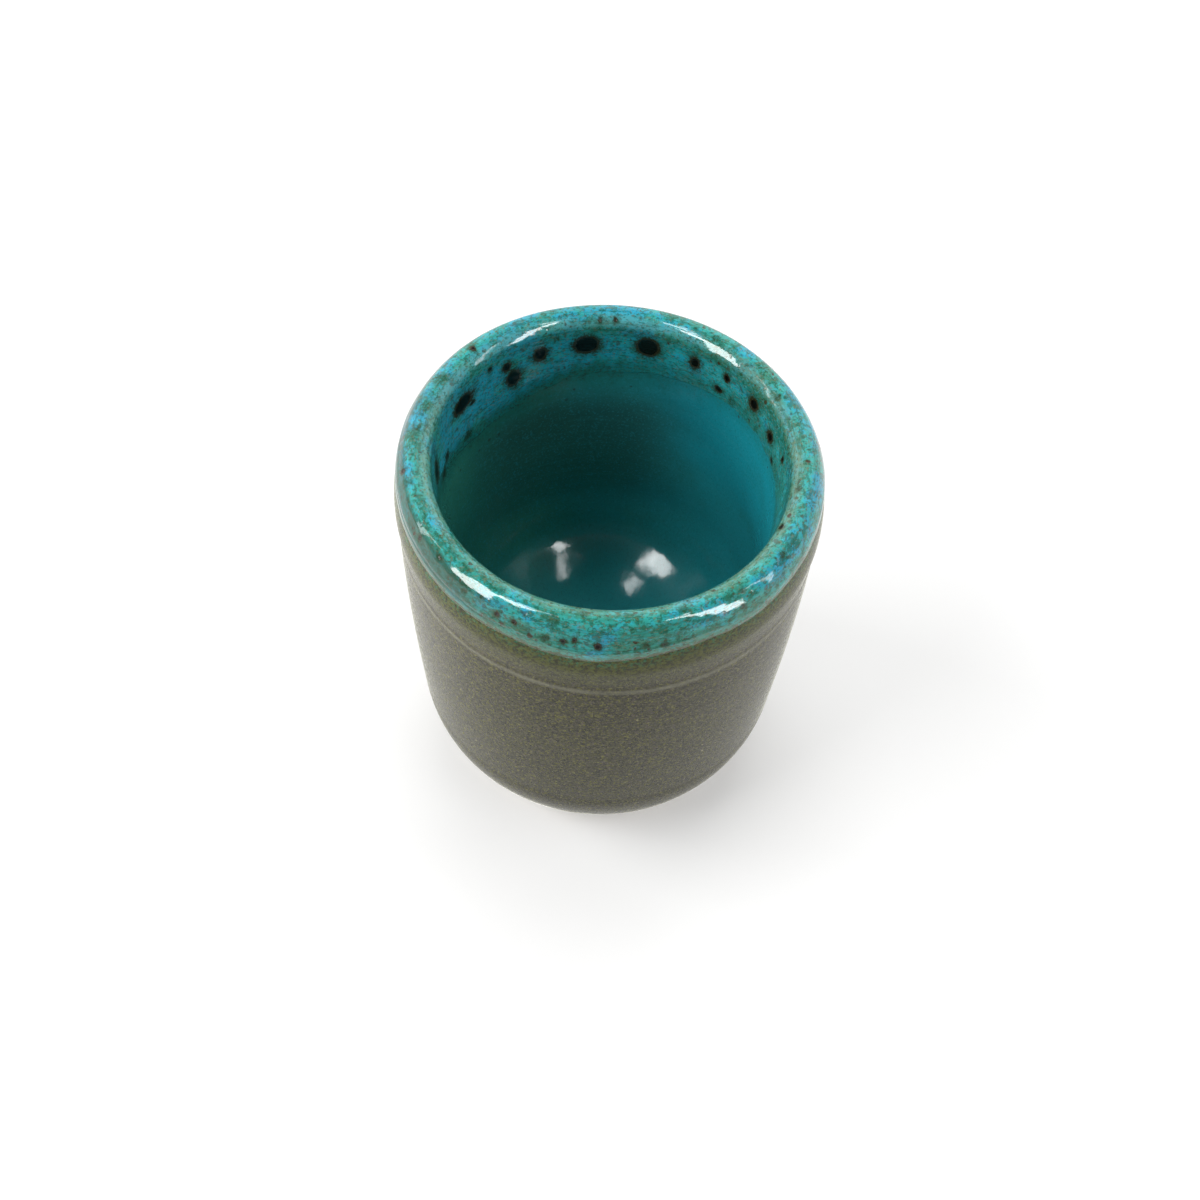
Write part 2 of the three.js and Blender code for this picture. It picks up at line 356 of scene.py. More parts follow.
# the coat is thick and rounded at its lower edge, and runs a little unevenly along the foot
line = 0.30 * ring(phi[:, :1], 0.16, 21) + 0.10 * ring(phi[:, :1], 0.6, 22)
near = np.clip((ss - S_LOW) / 6.0, 0, 1)
s_used = ss + (1 - near) ** 2 * (line + 0.25)
roll = 0.06 * np.exp(-((ss - S_LOW - 0.9) / 0.7) ** 2) - 0.36 * np.exp(-((ss - S_LOW) / 0.16) ** 1.0)
skin = 0.007 * fbm(22 * np.cos(phi) / 6.0, 22 * np.sin(phi) / 6.0, ss / 4.5, 31, 2)
turning = 0.006 * np.sin(ss * TAU / 1.9 + phi + 2 * ring(phi, 0.05, 33)) * smoothstep(-S_LOW, -12.5, -ss) * smoothstep(8, 16, -ss)
r_o, z_o = on_g(s_used, roll + skin + turning)
phb, sb = grid(N_OUT, s_back)
nb = np.clip((sb - S_LOW) / 6.0, 0, 1)
r_b, z_b = on_g(sb + (1 - nb) ** 2 * (line + 0.25), -COAT)
rz = np.stack([np.concatenate([r_o, r_b], 1), np.concatenate([z_o, z_b], 1)], -1)
edge_o = s_outer_edge(phi[:, :1])
hid = np.zeros_like(sb)
outer = revolve(
    "outer_coat", rz,
    {
        "wrap": np.concatenate([wrapped(phi, ss), wrapped(phb, sb)], 1),
        "below": np.concatenate([edge_o - ss, hid + 20], 1),
        "turn": np.concatenate([z_o - 41.75, hid + 20], 1),
    },
    unwrap(len(s_seen), len(s_back)),
)

# Liner: from the crest down to the floor, back along the clay. Ends on the axis both ways.
N_IN = 400
s_seen = np.r_[np.linspace(0.0, S_END - 6, 150), np.linspace(S_END - 6, S_END, 26)[1:]]
s_back = np.linspace(S_END, 0.0, 30)
phi, ss = grid(N_IN, s_seen)
skin = 0.012 * fbm(22 * np.cos(phi) / 6.0, 22 * np.sin(phi) / 6.0, ss / 4.0, 41, 2) * smoothstep(0, 16, S_END - ss)
r_o, z_o = on_g(ss, skin)
r_o = np.where(ss >= S_END - 1e-9, 0, r_o)
phb, sb = grid(N_IN, s_back)
r_b, z_b = on_g(sb, -COAT)
r_b = np.where(sb >= S_END - 1e-9, 0, r_b)
# the section runs up along the clay and then down the seen side, so both ends are on the axis
rz = np.stack([np.concatenate([r_b, r_o], 1), np.concatenate([z_b, z_o], 1)], -1)
edge_i = s_inner_edge(phi[:, :1])
hid = np.zeros_like(sb)
v = np.r_[np.linspace(1, 0.95, len(s_back)), np.linspace(0.94, 0, len(s_seen))]
liner = revolve(
    "liner_coat", rz,
    {
        "wrap": np.concatenate([wrapped(phb, sb), wrapped(phi, ss)], 1),
        "below": np.concatenate([hid + 20, ss - edge_i], 1),
    },
    v, poles=True,
)

# Rim coat: over the lip between two wandering edges, thinning out towards both.
N_RIM = 620
RIM_COAT = 0.25
t_seen = np.linspace(0, 1, 118)
t_seen = 0.5 - 0.5 * np.cos(math.pi * t_seen) * 0.35 - 0.65 * (0.5 - t_seen)
t_seen = (t_seen - t_seen[0]) / (t_seen[-1] - t_seen[0])
t_back = np.linspace(1, 0, 30)
phi, tt = grid(N_RIM, t_seen)
lo, hi = s_outer_edge(phi[:, :1]), s_inner_edge(phi[:, :1])
ss = lo + (hi - lo) * tt
d_out, d_in = ss - lo, hi - ss
iron, dark = iron_field(phi, ss)
thick = RIM_COAT * (0.10 + 0.90 * smoothstep(0, 1.4, d_out)) * (0.06 + 0.94 * smoothstep(0, 3.2, d_in))
thick = thick + 0.035 * np.exp(-((d_out - 0.45) / 0.30) ** 2) * (0.7 + 0.3 * ring(phi, 0.5, 55))
deg = np.degrees(phi)
deg = np.where(deg > 180, deg - 360, deg)
left = smoothstep(-100, -118, deg) + smoothstep(150, 175, deg)
valley = np.exp(-((d_out - 1.25 - 0.15 * ring(phi, 0.12, 56)) / 0.22) ** 2)
swell = np.exp(-((d_out - 1.95 - 0.2 * ring(phi, 0.10, 57)) / 0.45) ** 2)
thick = thick + left * (0.045 * swell - 0.06 * valley)
body = smoothstep(0, 1.5, np.minimum(d_out, d_in))
thick = thick + body * (0.020 * fbm(22 * np.cos(phi) / 3.0, 22 * np.sin(phi) / 3.0, ss / 2.0, 51, 3)
                        + 0.006 * noise(22 * np.cos(phi) / 2.2, 22 * np.sin(phi) / 2.2, ss / 0.55, 52))
thick = thick - 0.05 * dark * (1 - smoothstep(-0.5, 0.45, iron))
r_o, z_o = on_g(ss, np.maximum(thick, 0.008))
phb, tb = grid(N_RIM, t_back)
sb = lo + (hi - lo) * tb
r_b, z_b = on_g(sb, -0.02)
rz = np.stack([np.concatenate([r_o, r_b], 1), np.concatenate([z_o, z_b], 1)], -1)
ib, db = iron_field(phb, sb)
# how strongly the coat leans to blue: more inside, at the back and on the right than at the front left; partly the
# coat's own colour, partly painted light, the bluer coat standing for the back and right catching more light
BLUE_AND_LIGHT_LEAN = [(-180, 0.06), (-165, 0.0), (-145, 0.02), (-120, 0.0), (-100, 0.01), (-85, 0.03), (-65, 0.04), (-40, 0.03), (-10, 0.02),
        (20, -0.01), (50, 0.0), (80, 0.06), (110, 0.07), (140, 0.10), (165, 0.11)]
share = periodic(BLUE_AND_LIGHT_LEAN, phi) + 0.05 * smoothstep(2.8, 4.4, ss) * smoothstep(1.5, 4.0, d_in)
share = share + 0.07 * smoothstep(0.3, -0.7, ss) * smoothstep(-50, -25, deg) * smoothstep(60, 30, deg)
# painted shade: on the front, the lower part of the lip's outer face is made less blue and more stained, darker where
# it faces away from the light; just below the crest it is made a little bluer
facing = smoothstep(-130, -112, deg) * smoothstep(-15, -30, deg)
share = share + facing * (0.04 * smoothstep(-2.4, -1.5, ss) * smoothstep(0.2, -0.6, ss) - 0.13 * smoothstep(-2.0, -3.2, ss))
rim = revolve(
    "rim_coat", rz,
    {
        "wrap": np.concatenate([wrapped(phi, ss), wrapped(phb, sb)], 1),
        "d_out": np.concatenate([d_out, sb - lo], 1),
        "d_in": np.concatenate([d_in, hi - sb], 1),
        "iron": np.concatenate([iron, ib], 1),
        "dark": np.concatenate([dark, db], 1),
        "blue": np.concatenate([share, np.zeros_like(sb)], 1),
    },
    unwrap(len(t_seen), len(t_back)),
)

# Clay: recess, foot ring, bare edge, then everything that the coats cover.
N_CLAY = 360
foot = np.array([[0, 2.4], [8.95, 2.4], [10.05, 1.32], [10.55, 0.0], [14.55, 0.0], [15.23, 0.24], [15.93, 0.86]])
covered = G[::40] - COAT * GN[::40]
covered[-1] = (0, covered[-1, 1])
bare_end = covered[0]
under = resample(np.vstack([foot[:3], [[10.5, 0.02]]]), step=0.16)
under = soften(under, 0.16, 0.3)
under[0] = (0, under[0, 1])
ringp = resample(np.array([[10.55, 0.0], [14.55, 0.0]]), step=0.25)
edgep = resample(np.vstack([[[14.6, 0.0]], foot[5:], bare_end[None]]), step=0.14)
edgep = soften(edgep, 0.14, 0.28)
edgep[:, 1] = np.maximum(edgep[:, 1], 0.0)
section = np.vstack([under, ringp, edgep, covered[1:]])
flat = np.r_[np.zeros(len(under)), np.ones(len(ringp)), np.zeros(len(edgep)), np.zeros(len(covered) - 1)]
shown = np.r_[np.ones(len(under) + len(ringp) + len(edgep)), np.zeros(len(covered) - 1)]
n_show = int(shown.sum())
phi = np.broadcast_to((np.arange(N_CLAY) * TAU / N_CLAY)[:, None], (N_CLAY, len(section)))
rr = np.broadcast_to(section[:, 0], phi.shape)
zz = np.broadcast_to(section[:, 1], phi.shape)
# trimming marks: fine rings left by the tool, and grain in the bare clay; the ring itself stays flat
tool = 0.05 * np.sin(rr * TAU / 0.95 + 0.6 * phi + 1.3 * noise(rr / 3.0, np.cos(phi), np.sin(phi), 61))
grain = 0.03 * noise(rr * np.cos(phi) / 0.45, rr * np.sin(phi) / 0.45, zz / 0.45, 62)
free = shown * (1 - flat) * smoothstep(0.3, 2.5, rr) * smoothstep(0.02, 0.35, zz)
zz = zz + free * (tool * (rr < 10.4) + grain)
rz = np.stack([rr, zz], -1)
v = np.r_[np.linspace(0, 0.9, n_show), np.linspace(0.9, 1, len(section) - n_show + 1)[1:]]
clay = revolve(
    "clay_body", rz[:, :], {"wrap": np.stack([rr * np.cos(phi), rr * np.sin(phi), zz], -1)}, v, poles=True)


# ----------------------------------------------------------------- materials
class Tree:
    """Short names for the shader nodes used here."""

    def __init__(self, name):
        self.mat = bpy.data.materials.new(name)
        self.mat.use_nodes = True
        self.t = self.mat.node_tree
        self.t.nodes.clear()
        self.out = self.t.nodes.new("ShaderNodeOutputMaterial")
        self.bsdf = self.t.nodes.new("ShaderNodeBsdfPrincipled")
        self.t.links.new(self.bsdf.outputs[0], self.out.inputs[0])

    def put(self, socket, value):
        if isinstance(value, bpy.types.NodeSocket):
            self.t.links.new(value, socket)
        else:
            socket.default_value = value

    def attr(self, name, vector=False):
        n = self.t.nodes.new("ShaderNodeAttribute")
        n.attribute_name = name
        return n.outputs["Vector" if vector else "Fac"]

    def scale(self, v, by):
        n = self.t.nodes.new("ShaderNodeVectorMath")
        n.operation = "MULTIPLY"
        self.put(n.inputs[0], v)
        n.inputs[1].default_value = by
        return n.outputs[0]

    def shift(self, v, by):
        n = self.t.nodes.new("ShaderNodeVectorMath")
        n.operation = "ADD"
        self.put(n.inputs[0], v)
        self.put(n.inputs[1], by)
        return n.outputs[0]

    def noise(self, v, scale, detail=3.0, rough=0.5, distort=0.0, colour=False):
        n = self.t.nodes.new("ShaderNodeTexNoise")
        self.put(n.inputs["Vector"], v)
        n.inputs["Scale"].default_value = scale
        n.inputs["Detail"].default_value = detail
        n.inputs["Roughness"].default_value = rough
        n.inputs["Distortion"].default_value = distort
        return n.outputs["Color" if colour else "Fac"]

    def cells(self, v, scale, randomness=1.0):
        """(distance to the nearest point, that cell's own random number)."""
        n = self.t.nodes.new("ShaderNodeTexVoronoi")
        self.put(n.inputs["Vector"], v)
        n.inputs["Scale"].default_value = scale
        n.inputs["Randomness"].default_value = randomness
        sep = self.t.nodes.new("ShaderNodeSeparateColor")
        self.t.links.new(n.outputs["Color"], sep.inputs[0])
        return n.outputs["Distance"], sep.outputs[0], sep.outputs[1]

    def math(self, op, a, b=0.0, c=0.0, clamp=False):
        n = self.t.nodes.new("ShaderNodeMath")
        n.operation = op
        n.use_clamp = clamp
        for s, x in zip(n.inputs, (a, b, c)):
            self.put(s, x)
        return n.outputs[0]

    def step(self, x, a, b, lo=0.0, hi=1.0):
        """Smooth ramp of x from lo at a to hi at b."""
        n = self.t.nodes.new("ShaderNodeMapRange")
        n.interpolation_type = "SMOOTHSTEP"
        self.put(n.inputs["Value"], x)
        if a <= b:
            vals = (a, b, lo, hi)
        else:
            vals = (b, a, hi, lo)
        for key, val in zip(("From Min", "From Max", "To Min", "To Max"), vals):
            n.inputs[key].default_value = val
        return n.outputs["Result"]

    def mix(self, f, a, b, blend="MIX"):
        n = self.t.nodes.new("ShaderNodeMix")
        n.data_type = "RGBA"
        n.blend_type = blend
        n.clamp_factor = True
        self.put(n.inputs[0], f)
        self.put(n.inputs[6], a if isinstance(a, bpy.types.NodeSocket) else (*a, 1))
        self.put(n.inputs[7], b if isinstance(b, bpy.types.NodeSocket) else (*b, 1))
        return n.outputs[2]

    def z_of(self, v):
        n = self.t.nodes.new("ShaderNodeSeparateXYZ")
        self.put(n.inputs[0], v)
        return n.outputs[2]

    def y_of(self, v):
        n = self.t.nodes.new("ShaderNodeSeparateXYZ")
        self.put(n.inputs[0], v)
        return n.outputs[1]

    def x_of(self, v):
        n = self.t.nodes.new("ShaderNodeSeparateXYZ")
        self.put(n.inputs[0], v)
        return n.outputs[0]

    def bump(self, height, distance, normal=None):
        n = self.t.nodes.new("ShaderNodeBump")
        n.inputs["Strength"].default_value = 1.0
        n.inputs["Distance"].default_value = distance
        self.put(n.inputs["Height"], height)
        if normal is not None:
            self.put(n.inputs["Normal"], normal)
        return n.outputs[0]


def srgb(r, g, b):
    def lin(c):
        c /= 255.0
        return c / 12.92 if c <= 0.04045 else ((c + 0.055) / 1.055) ** 2.4
    return (lin(r), lin(g), lin(b))


# --- rim coat
k = Tree("turquoise_glaze")
W = k.attr("wrap", True)
s_c = k.z_of(W)
d_out_a, d_in_a = k.attr("d_out"), k.attr("d_in")
wob = k.scale(k.shift(k.noise(W, 0.9, 3, colour=True), (-0.5, -0.5, -0.5)), (1.0, 1.0, 1.0))
Ww = k.shift(W, wob)
run = k.scale(Ww, (0.45, 0.45, 1.0))
streak = k.scale(W, (0.10, 0.10, 2.2))

blue = srgb(42, 151, 186)
cyan = srgb(48, 164, 158)
green = srgb(55, 154, 144)
moss = srgb(44, 118, 104)
pine = srgb(20, 68, 44)
brown = srgb(58, 42, 24)
crest_grey = srgb(104, 146, 128)

col = k.mix(k.step(k.noise(run, 0.55, 4, 0.6), 0.36, 0.64), moss, green)
# blue pools and iron-stained patches, drawn out round the cup; more blue inside and at the back, a lean that is partly
# painted light
blue_and_light_lean = k.attr("blue")
q = k.noise(k.shift(k.scale(Ww, (0.62, 0.62, 1.0)), (31, 7, 3)), 0.36, 4, 0.6)
q = k.math("ADD", q, blue_and_light_lean)
q = k.math("ADD", q, k.math("MULTIPLY", k.math("SUBTRACT", k.noise(k.shift(W, (8, 8, 1)), 1.5, 3, 0.7), 0.5), 0.30))
col = k.mix(k.math("MULTIPLY", k.step(q, 0.44, 0.58), 0.70), col, cyan)
col = k.mix(k.math("MULTIPLY", k.step(q, 0.51, 0.67), 0.85), col, blue)
stain = k.step(q, 0.47, 0.38)
col = k.mix(k.math("MULTIPLY", stain, 0.60), col, srgb(62, 122, 96))
# fine lines left by the wheel
lines = k.noise(streak, 1.0, 3, 0.65)
col = k.mix(k.math("MULTIPLY", k.step(lines, 0.52, 0.70), 0.40), col, cyan)
col = k.mix(k.math("MULTIPLY", k.step(lines, 0.46, 0.32), 0.40), col, moss)
# over the inner edge of the lip the coat turns grey-green, bluer and lighter towards the back
crest = k.math("MULTIPLY", k.step(s_c, 0.2, 1.2), k.step(s_c, 2.5, 1.7))
crest = k.math("MULTIPLY", crest, k.step(k.noise(run, 0.5, 3), 0.26, 0.54))
col = k.mix(k.math("MULTIPLY", crest, 0.70), col, k.mix(k.step(k.y_of(W), 2, 16), crest_grey, srgb(88, 164, 164)))
brown_lip = k.math("MULTIPLY", k.step(k.x_of(W), 6, 17), k.math("MULTIPLY", k.step(s_c, 0.3, 1.2), k.step(s_c, 3.0, 2.0)))
col = k.mix(k.math("MULTIPLY", brown_lip, 0.42), col, srgb(92, 108, 88))
# painted shade: a darker green just inside, under the inner edge of the lip, stronger on the right
under_lip_shade = k.math("MULTIPLY", k.step(s_c, 1.5, 2.3), k.step(s_c, 4.6, 3.0))
col = k.mix(k.math("MULTIPLY", under_lip_shade, k.step(k.x_of(W), 2, 16, 0.22, 0.66)), col, srgb(34, 94, 74))
# the coat lies thicker and bluer on the inside, less so on the right
inside = k.math("MULTIPLY", k.step(s_c, 2.3, 3.8), k.step(k.x_of(W), 12, 20, 1.0, 0.3))
inside = k.math("MULTIPLY", inside, k.step(k.x_of(W), -19, -8, 0.25, 1.0))
col = k.mix(k.math("MULTIPLY", inside, 0.44), col, srgb(8, 168, 188))
# dark green mottling
mott = k.noise(k.shift(k.scale(Ww, (0.8, 0.8, 1.0)), (4, 19, 6)), 0.95, 3, 0.72)
mott = k.math("MULTIPLY", k.step(mott, 0.50, 0.58), k.math("SUBTRACT", k.step(s_c, 2.2, 3.2, 0.72, 0.42), k.math("MULTIPLY", crest, 0.45)))
col = k.mix(mott, col, srgb(34, 92, 70))
# darker and greener inside on the right
low_right = k.math("MULTIPLY", k.step(s_c, 2.4, 3.6), k.step(k.x_of(W), 12, 19))
col = k.mix(k.math("MULTIPLY", low_right, 0.42), col, srgb(22, 84, 76))
# grain, drawn out a little round the cup
flow = k.scale(W, (0.62, 0.62, 1.2))
g1 = k.noise(flow, 2.7, 2, 0.7)
col = k.mix(k.math("MULTIPLY", k.step(g1, 0.53, 0.61), 0.56), col, pine)
g2 = k.noise(k.shift(flow, (9, 4, 7)), 3.4, 2, 0.7)
col = k.mix(k.math("MULTIPLY", k.step(g2, 0.55, 0.62), 0.52), col, srgb(100, 102, 72))
g3 = k.noise(k.shift(flow, (2, 14, 5)), 2.6, 2, 0.7)
col = k.mix(k.math("MULTIPLY", k.step(g3, 0.54, 0.62), 0.34), col, srgb(66, 170, 182))
# thin dark lines where the coat settled into the wheel marks
thread = k.noise(k.scale(W, (0.17, 0.17, 3.4)), 1.0, 2, 0.6)
col = k.mix(k.math("MULTIPLY", k.step(thread, 0.55, 0.67), 0.36), col, srgb(24, 86, 66))
# the left of the outer face is greyer and smoother, and also darkened there as painted shade, with a settled line along
# it
left_grey_and_shade = k.math("MULTIPLY", k.step(k.x_of(W), -6, -17), k.step(s_c, -0.5, -1.5))
col = k.mix(k.math("MULTIPLY", left_grey_and_shade, 0.76), col, srgb(40, 64, 51))
settle = k.math("ADD", d_out_a, k.math("MULTIPLY", k.math("SUBTRACT", k.noise(k.scale(W, (0.3, 0.3, 0.3)), 1.0, 3), 0.5), 0.9))
settle = k.math("MULTIPLY", k.step(settle, 1.05, 1.22), k.step(settle, 1.48, 1.30))
settle = k.math("MULTIPLY", settle, k.step(k.x_of(W), -7, -14))
col = k.mix(k.math("MULTIPLY", settle, 0.70), col, srgb(26, 78, 64))
# small brown specks, thick in the stained patches
drift = k.math("ADD", k.math("MULTIPLY", stain, 0.8), k.math("MULTIPLY", k.step(k.noise(run, 0.30, 2), 0.40, 0.62), 0.35))
dist, rnd, rnd2 = k.cells(Ww, 1.05)
size = k.math("MULTIPLY", k.math("POWER", rnd, 2.0), 0.34)
speck = k.step(k.math("SUBTRACT", dist, size), 0.08, -0.05)
speck = k.math("MULTIPLY", speck, k.math("ADD", k.math("MULTIPLY", drift, 0.80), 0.30), clamp=True)
col = k.mix(k.math("MULTIPLY", speck, 0.92), col, brown)
dist, rnd, rnd2 = k.cells(k.shift(Ww, (11, 5, 2)), 2.2)
size = k.math("MULTIPLY", k.math("POWER", rnd, 1.8), 0.36)
speck2 = k.step(k.math("SUBTRACT", dist, size), 0.08, -0.05)
speck2 = k.math("MULTIPLY", speck2, k.math("ADD", k.math("MULTIPLY", drift, 0.80), 0.40), clamp=True)
col = k.mix(k.math("MULTIPLY", speck2, 0.75), col, srgb(62, 56, 34))
# lower edge inside: the coat thins into a dark green, speckled fringe
fr = k.math("ADD", d_in_a, k.math("MULTIPLY", k.math("SUBTRACT", k.noise(W, 0.6, 4, 0.6), 0.5), 3.6))
fringe = k.step(fr, 3.6, 0.4)
weak = k.step(k.x_of(W), -4, 10, 1.0, 0.42)
col = k.mix(k.math("MULTIPLY", k.math("MULTIPLY", fringe, weak), 0.78), col, srgb(28, 104, 92))
fr2 = k.math("MULTIPLY", k.step(fr, 2.6, 0.2), k.step(k.noise(W, 2.2, 4, 0.75), 0.46, 0.64))
col = k.mix(k.math("MULTIPLY", k.math("MULTIPLY", fr2, weak), 0.75), col, srgb(44, 60, 36))
# lower edge outside: a brighter green bead, then a ragged olive end
bead = k.math("MULTIPLY", k.step(d_out_a, 1.0, 0.45), k.step(d_out_a, 0.10, 0.36))
col = k.mix(k.math("MULTIPLY", bead, 0.40), col, srgb(44, 128, 102))
lowest = k.math("ADD", d_out_a, k.math("MULTIPLY", k.math("SUBTRACT", k.noise(W, 1.7, 4, 0.8), 0.5), 3.0))
col = k.mix(k.math("MULTIPLY", k.step(lowest, 0.60, 0.20), 0.92), col, srgb(62, 68, 26))
# iron spots: black heart, brown rim, dark green halo
i0 = k.attr("iron")
weight = k.attr("dark")
veil, core = k.step(weight, 0.10, 0.50), k.step(weight, 0.40, 0.70)
ragged = k.math("SUBTRACT", k.noise(W, 1.7, 5, 0.72), 0.5)
i1 = k.math("ADD", i0, k.math("MULTIPLY", ragged, 1.7))
sand = k.step(k.noise(k.shift(W, (3, 1, 8)), 3.2, 2, 0.7), 0.44, 0.58, 0.45, 1.0)
halo = k.math("MULTIPLY", k.math("MULTIPLY", k.step(i1, 1.40, 0.30), veil), sand)
col = k.mix(k.math("MULTIPLY", halo, 0.92), col, srgb(34, 62, 36))
i2 = k.math("ADD", i0, k.math("MULTIPLY", ragged, 1.0))
rust = k.math("MULTIPLY", k.step(i2, 0.58, 0.20), core)
col = k.mix(k.math("MULTIPLY", rust, 0.92), col, srgb(44, 34, 13))
i3 = k.math("ADD", i0, k.math("MULTIPLY", ragged, 0.45))
heart = k.math("MULTIPLY", k.step(i3, 0.08, -0.06), core)
col = k.mix(heart, col, srgb(9, 6, 4))
k.put(k.bsdf.inputs["Base Color"], col)
rough = k.math("ADD", k.math("MULTIPLY", k.noise(W, 1.3, 3), 0.05), 0.05)
rough = k.math("ADD", rough, k.math("MULTIPLY", heart, 0.10))
k.put(k.bsdf.inputs["Roughness"], rough)
k.bsdf.inputs["IOR"].default_value = 1.48
peel = k.noise(k.scale(W, (0.55, 0.55, 1.0)), 0.9, 2, 0.4)
ridge = k.noise(streak, 1.1, 2, 0.5)
pits = k.math("ADD", speck, heart)
n1 = k.bump(peel, 0.00005)
n2 = k.bump(ridge, 0.000030, n1)
n3 = k.bump(pits, -0.00002, n2)
k.put(k.bsdf.inputs["Normal"], n3)
rim_mat = k.mat

# --- liner
k = Tree("teal_glaze")
W = k.attr("wrap", True)
below = k.attr("below")
side = k.step(k.math("ADD", k.x_of(W), k.math("MULTIPLY", k.math("SUBTRACT", k.noise(W, 0.08, 2), 0.5), 20.0)), -14, 16)
col = k.mix(side, srgb(50, 122, 106), srgb(26, 140, 154))
m1 = k.noise(k.scale(W, (0.10, 0.10, 0.16)), 1.0, 3)
col = k.mix(k.math("MULTIPLY", k.step(m1, 0.44, 0.66), 0.25), col, srgb(30, 106, 106))
depth = k.z_of(W)
# painted shade: the back wall is darkened at mid depth, less so towards the right, where little light reaches it
far_wall_shade = k.math("MULTIPLY", k.step(depth, 10, 18), k.step(depth, 38, 26))
far_wall_shade = k.math("MULTIPLY", far_wall_shade, k.step(k.y_of(W), 8, 18))
far_wall_shade = k.math("MULTIPLY", far_wall_shade, k.step(k.x_of(W), 14, 2))
col = k.mix(k.math("MULTIPLY", far_wall_shade, 0.72), col, srgb(38, 68, 60))
col = k.mix(k.step(depth, 17, 27, 0.0, 0.30), col, srgb(44, 112, 104))
# painted light: the floor of the bowl is made much lighter
col = k.mix(k.math("MULTIPLY", k.step(depth, 36, 50), 0.80), col, srgb(60, 166, 172))
m2 = k.noise(W, 3.6, 4, 0.7)
col = k.mix(k.math("MULTIPLY", k.step(m2, 0.53, 0.63), 0.34), col, srgb(24, 78, 74))
m3 = k.noise(k.shift(W, (6, 2, 11)), 3.0, 3, 0.7)
col = k.mix(k.math("MULTIPLY", k.step(m3, 0.54, 0.64), 0.30), col, srgb(54, 152, 172))
wheel = k.noise(k.scale(W, (0.05, 0.05, 1.1)), 1.0, 3, 0.6)
col = k.mix(k.math("MULTIPLY", k.step(wheel, 0.50, 0.66), 0.07), col, srgb(60, 150, 150))
br = k.math("ADD", below, k.math("MULTIPLY", k.math("SUBTRACT", k.noise(W, 0.6, 4, 0.6), 0.5), 3.6))
weak = k.step(k.x_of(W), -4, 10, 0.66, 0.34)
col = k.mix(k.math("MULTIPLY", k.step(br, 3.6, -0.4), weak), col, srgb(28, 100, 90))
fr2 = k.math("MULTIPLY", k.step(br, 2.4, -0.6), k.step(k.noise(W, 2.2, 4, 0.75), 0.46, 0.64))
col = k.mix(k.math("MULTIPLY", fr2, weak), col, srgb(44, 60, 36))
dist, rnd, rnd2 = k.cells(W, 0.9)
dot = k.math("MULTIPLY", k.step(k.math("SUBTRACT", dist, k.math("MULTIPLY", k.math("POWER", rnd, 5.0), 0.24)), 0.05, -0.04),
             k.step(below, 8, 1))
col = k.mix(k.math("MULTIPLY", dot, 0.65), col, srgb(42, 50, 30))
k.put(k.bsdf.inputs["Base Color"], col)
smooth = k.step(depth, 30, 39, 0.15, 0.075)
k.put(k.bsdf.inputs["Roughness"], k.math("ADD", k.math("MULTIPLY", k.noise(W, 0.8, 3), 0.05), smooth))
k.bsdf.inputs["IOR"].default_value = 1.43
n1 = k.bump(k.noise(k.scale(W, (0.4, 0.4, 0.7)), 0.5, 2, 0.4), 0.00006)
n2 = k.bump(k.noise(W, 3.0, 2), 0.000004, n1)
k.put(k.bsdf.inputs["Normal"], n2)
liner_mat = k.mat

# --- outer coat
k = Tree("satin_glaze")
W = k.attr("wrap", True)
below = k.attr("below")
turn = k.attr("turn")
col = k.mix(k.step(k.noise(W, 0.09, 3), 0.35, 0.65), srgb(64, 63, 38), srgb(58, 57, 34))
g1 = k.noise(W, 2.8, 2, 0.75)
col = k.mix(k.math("MULTIPLY", k.step(g1, 0.50, 0.57), 0.92), col, srgb(28, 27, 18))
g2 = k.noise(k.shift(W, (5, 9, 2)), 2.8, 2, 0.75)
col = k.mix(k.math("MULTIPLY", k.step(g2, 0.55, 0.62), 0.80), col, srgb(106, 104, 42))
g3 = k.noise(k.shift(W, (17, 3, 8)), 3.2, 2, 0.75)
col = k.mix(k.math("MULTIPLY", k.step(g3, 0.55, 0.63), 0.55), col, srgb(98, 88, 82))
# tiny pale grains, gathered in patches, and rare dark ones
patch = k.step(k.noise(k.scale(W, (0.1, 0.1, 0.1)), 1.0, 2), 0.44, 0.60)
dist, rnd, rnd2 = k.cells(W, 0.9)
pale = k.step(k.math("SUBTRACT", dist, k.math("MULTIPLY", k.math("POWER", rnd, 6.0), 0.17)), 0.02, -0.03)
col = k.mix(k.math("MULTIPLY", pale, k.math("ADD", k.math("MULTIPLY", patch, 0.8), 0.1)), col, srgb(165, 158, 120))
dist, rnd, rnd2 = k.cells(k.shift(W, (3, 13, 7)), 0.35)
dark_dot = k.step(k.math("SUBTRACT", dist, k.math("MULTIPLY", k.math("POWER", rnd, 8.0), 0.11)), 0.03, -0.02)
col = k.mix(k.math("MULTIPLY", dark_dot, 0.7), col, srgb(26, 22, 14))
# olive bleed under the rim coat's edge
bl = k.math("ADD", below, k.math("MULTIPLY", k.math("SUBTRACT", k.noise(W, 0.5, 3), 0.5), 1.6))
bl = k.math("ADD", bl, k.math("MULTIPLY", k.math("SUBTRACT", k.noise(W, 3.2, 4, 0.8), 0.5), 2.6))
col = k.mix(k.math("MULTIPLY", k.step(bl, 7.5, 1.2), 0.50), col, srgb(76, 77, 36))
tint = k.mix(k.step(g1, 0.47, 0.56), srgb(80, 84, 30), srgb(36, 38, 15))
col = k.mix(k.math("MULTIPLY", k.step(bl, 6.4, 1.0), 0.82), col, tint)
flecks = k.math("MULTIPLY", k.step(bl, 2.2, -0.2), k.step(k.noise(W, 2.4, 3, 0.75), 0.50, 0.58))
col = k.mix(k.math("MULTIPLY", flecks, 0.75), col, srgb(44, 112, 82))
